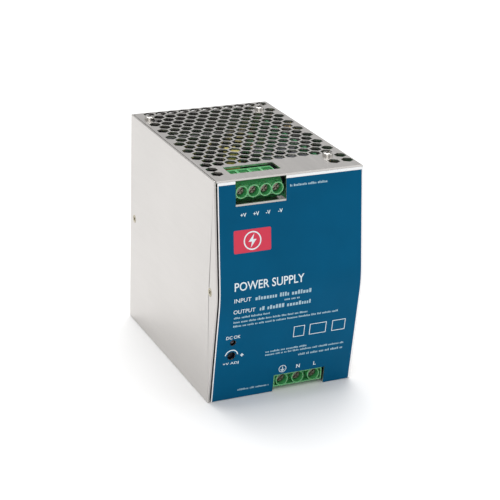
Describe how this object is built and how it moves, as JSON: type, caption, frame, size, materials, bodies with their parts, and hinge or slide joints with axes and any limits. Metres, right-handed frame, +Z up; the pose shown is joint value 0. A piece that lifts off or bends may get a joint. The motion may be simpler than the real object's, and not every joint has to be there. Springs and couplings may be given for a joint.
{
  "type": "din rail power supply",
  "caption": "Box-shaped metal power supply that clips to a 35 mm rail, with a ridged front, honeycomb vents, and screw terminals at top and bottom.",
  "frame": {"origin": "centre of the rail seat, on the rear face of the rail bracket, at mid width and mid height of the case", "axes": "+Z up, +Y back towards the rail, -Y the operator's side, +X to the right seen from the front"},
  "size_m": [0.0856, 0.1338, 0.1271],
  "materials": {
    "case_metal": "satin zinc-coated sheet",
    "label_film": "printed film, satin",
    "clip_steel": "zinc-plated",
    "spring_steel": "bright wire",
    "screw_steel": "nickel-plated",
    "standoff_brass": "plated",
    "board_green": "solder resist",
    "bracket_tin": "tinned sheet",
    "insulation_film": "translucent film",
    "lamp_green": "clear tinted resin",
    "trimmer_blue": "moulded",
    "trimmer_white": "moulded",
    "can_black": "shrink sleeve",
    "film_yellow": "moulded box",
    "disc_blue": "dipped epoxy",
    "heatsink_metal": "extruded",
    "epoxy_black": "moulded",
    "fuse_glass": "clear tube and nickel caps",
    "core_coating": "epoxy coating",
    "winding_copper": "enamelled copper",
    "ferrite": "sintered",
    "coil_tape": "polyester tape",
    "terminal_green": "moulded",
    "contact_tin": "tinned",
    "clamp_steel": "zinc-plated",
    "terminal_screw": "zinc-plated"
  },
  "bodies": {
    "case": {"base_screws": "screw_steel", "board_brackets": "bracket_tin", "board_screws": "screw_steel", "board_standoffs": "standoff_brass", "boost_choke_coil": "coil_tape", "boost_choke_core": "ferrite", "bracket_screws": "screw_steel", "bridge_rectifier": "epoxy_black", "bulk_capacitors": "can_black", "case_screws": "screw_steel", "chassis": "case_metal", "control_board": "board_green", "cover_screws": "screw_steel", "disc_capacitors": "disc_blue", "film_capacitors": "film_yellow", "front_label": "label_film", "front_panel": "case_metal", "heatsink": "heatsink_metal", "input_board": "board_green", "input_contacts": "contact_tin", "input_terminal_housing": "terminal_green", "insulation_sheet": "insulation_film", "latch_spring": "spring_steel", "left_cover": "case_metal", "main_board": "board_green", "mains_choke_cores": "core_coating", "mains_choke_windings": "winding_copper", "mains_fuse": "fuse_glass", "output_board": "board_green", "output_capacitors": "can_black", "output_choke_core": "core_coating", "output_choke_winding": "winding_copper", "output_contacts": "contact_tin", "output_terminal_housing": "terminal_green", "power_transistors": "epoxy_black", "rail_bracket": "clip_steel", "rear_panel": "case_metal", "relay": "epoxy_black", "status_lamp": "lamp_green", "transformer_coil": "coil_tape", "transformer_core": "ferrite", "trimmer_body": "trimmer_blue", "varistor": "disc_blue"},
    "output_screw_1": {"output_screw_1": "terminal_screw"},
    "output_clamp_1": {"output_clamp_1": "clamp_steel"},
    "output_screw_2": {"output_screw_2": "terminal_screw"},
    "output_clamp_2": {"output_clamp_2": "clamp_steel"},
    "output_screw_3": {"output_screw_3": "terminal_screw"},
    "output_clamp_3": {"output_clamp_3": "clamp_steel"},
    "output_screw_4": {"output_screw_4": "terminal_screw"},
    "output_clamp_4": {"output_clamp_4": "clamp_steel"},
    "input_screw_1": {"input_screw_1": "terminal_screw"},
    "input_clamp_1": {"input_clamp_1": "clamp_steel"},
    "input_screw_2": {"input_screw_2": "terminal_screw"},
    "input_clamp_2": {"input_clamp_2": "clamp_steel"},
    "input_screw_3": {"input_screw_3": "terminal_screw"},
    "input_clamp_3": {"input_clamp_3": "clamp_steel"},
    "latch": {"rail_latch": "clip_steel"},
    "trimmer": {"trimmer_rotor": "trimmer_white"}
  },
  "joints": [
    {"name": "output_screw_1_turn", "type": "hinge", "parent": "case", "child": "output_screw_1", "pos_m": [-0.02695, -0.1172, 0.0549], "axis": [0, 1, 0], "range_deg": [0, 2305]},
    {"name": "output_clamp_1_lift", "type": "slide", "parent": "case", "child": "output_clamp_1", "axis": [0, -1, 0], "range_m": [0, 0.0032]},
    {"name": "output_screw_2_turn", "type": "hinge", "parent": "case", "child": "output_screw_2", "pos_m": [-0.02025, -0.1172, 0.0549], "axis": [0, 1, 0], "range_deg": [0, 2305]},
    {"name": "output_clamp_2_lift", "type": "slide", "parent": "case", "child": "output_clamp_2", "axis": [0, -1, 0], "range_m": [0, 0.0032]},
    {"name": "output_screw_3_turn", "type": "hinge", "parent": "case", "child": "output_screw_3", "pos_m": [-0.01355, -0.1172, 0.0549], "axis": [0, 1, 0], "range_deg": [0, 2305]},
    {"name": "output_clamp_3_lift", "type": "slide", "parent": "case", "child": "output_clamp_3", "axis": [0, -1, 0], "range_m": [0, 0.0032]},
    {"name": "output_screw_4_turn", "type": "hinge", "parent": "case", "child": "output_screw_4", "pos_m": [-0.00685, -0.1172, 0.0549], "axis": [0, 1, 0], "range_deg": [0, 2305]},
    {"name": "output_clamp_4_lift", "type": "slide", "parent": "case", "child": "output_clamp_4", "axis": [0, -1, 0], "range_m": [0, 0.0032]},
    {"name": "input_screw_1_turn", "type": "hinge", "parent": "case", "child": "input_screw_1", "pos_m": [0.00085, -0.1172, -0.0564], "axis": [0, 1, 0], "range_deg": [0, 2305]},
    {"name": "input_clamp_1_lift", "type": "slide", "parent": "case", "child": "input_clamp_1", "axis": [0, -1, 0], "range_m": [0, 0.0032]},
    {"name": "input_screw_2_turn", "type": "hinge", "parent": "case", "child": "input_screw_2", "pos_m": [0.01035, -0.1172, -0.0564], "axis": [0, 1, 0], "range_deg": [0, 2305]},
    {"name": "input_clamp_2_lift", "type": "slide", "parent": "case", "child": "input_clamp_2", "axis": [0, -1, 0], "range_m": [0, 0.0032]},
    {"name": "input_screw_3_turn", "type": "hinge", "parent": "case", "child": "input_screw_3", "pos_m": [0.01985, -0.1172, -0.0564], "axis": [0, 1, 0], "range_deg": [0, 2305]},
    {"name": "input_clamp_3_lift", "type": "slide", "parent": "case", "child": "input_clamp_3", "axis": [0, -1, 0], "range_m": [0, 0.0032]},
    {"name": "latch_slide", "type": "slide", "parent": "case", "child": "latch", "axis": [0, 0, -1], "range_m": [0, 0.005], "stiffness_N_per_m": 900, "springref_m": -0.004, "deforming": ["latch_spring"]},
    {"name": "trimmer_turn", "type": "hinge", "parent": "case", "child": "trimmer", "pos_m": [-0.03125, -0.12, -0.0353], "axis": [0, 1, 0], "range_deg": [-135, 135]}
  ],
  "couplings": [
    {"joint": "output_screw_1_turn", "follows": "output_clamp_1_lift", "rad_per_m": 12566},
    {"joint": "output_screw_2_turn", "follows": "output_clamp_2_lift", "rad_per_m": 12566},
    {"joint": "output_screw_3_turn", "follows": "output_clamp_3_lift", "rad_per_m": 12566},
    {"joint": "output_screw_4_turn", "follows": "output_clamp_4_lift", "rad_per_m": 12566},
    {"joint": "input_screw_1_turn", "follows": "input_clamp_1_lift", "rad_per_m": 12566},
    {"joint": "input_screw_2_turn", "follows": "input_clamp_2_lift", "rad_per_m": 12566},
    {"joint": "input_screw_3_turn", "follows": "input_clamp_3_lift", "rad_per_m": 12566}
  ]
}
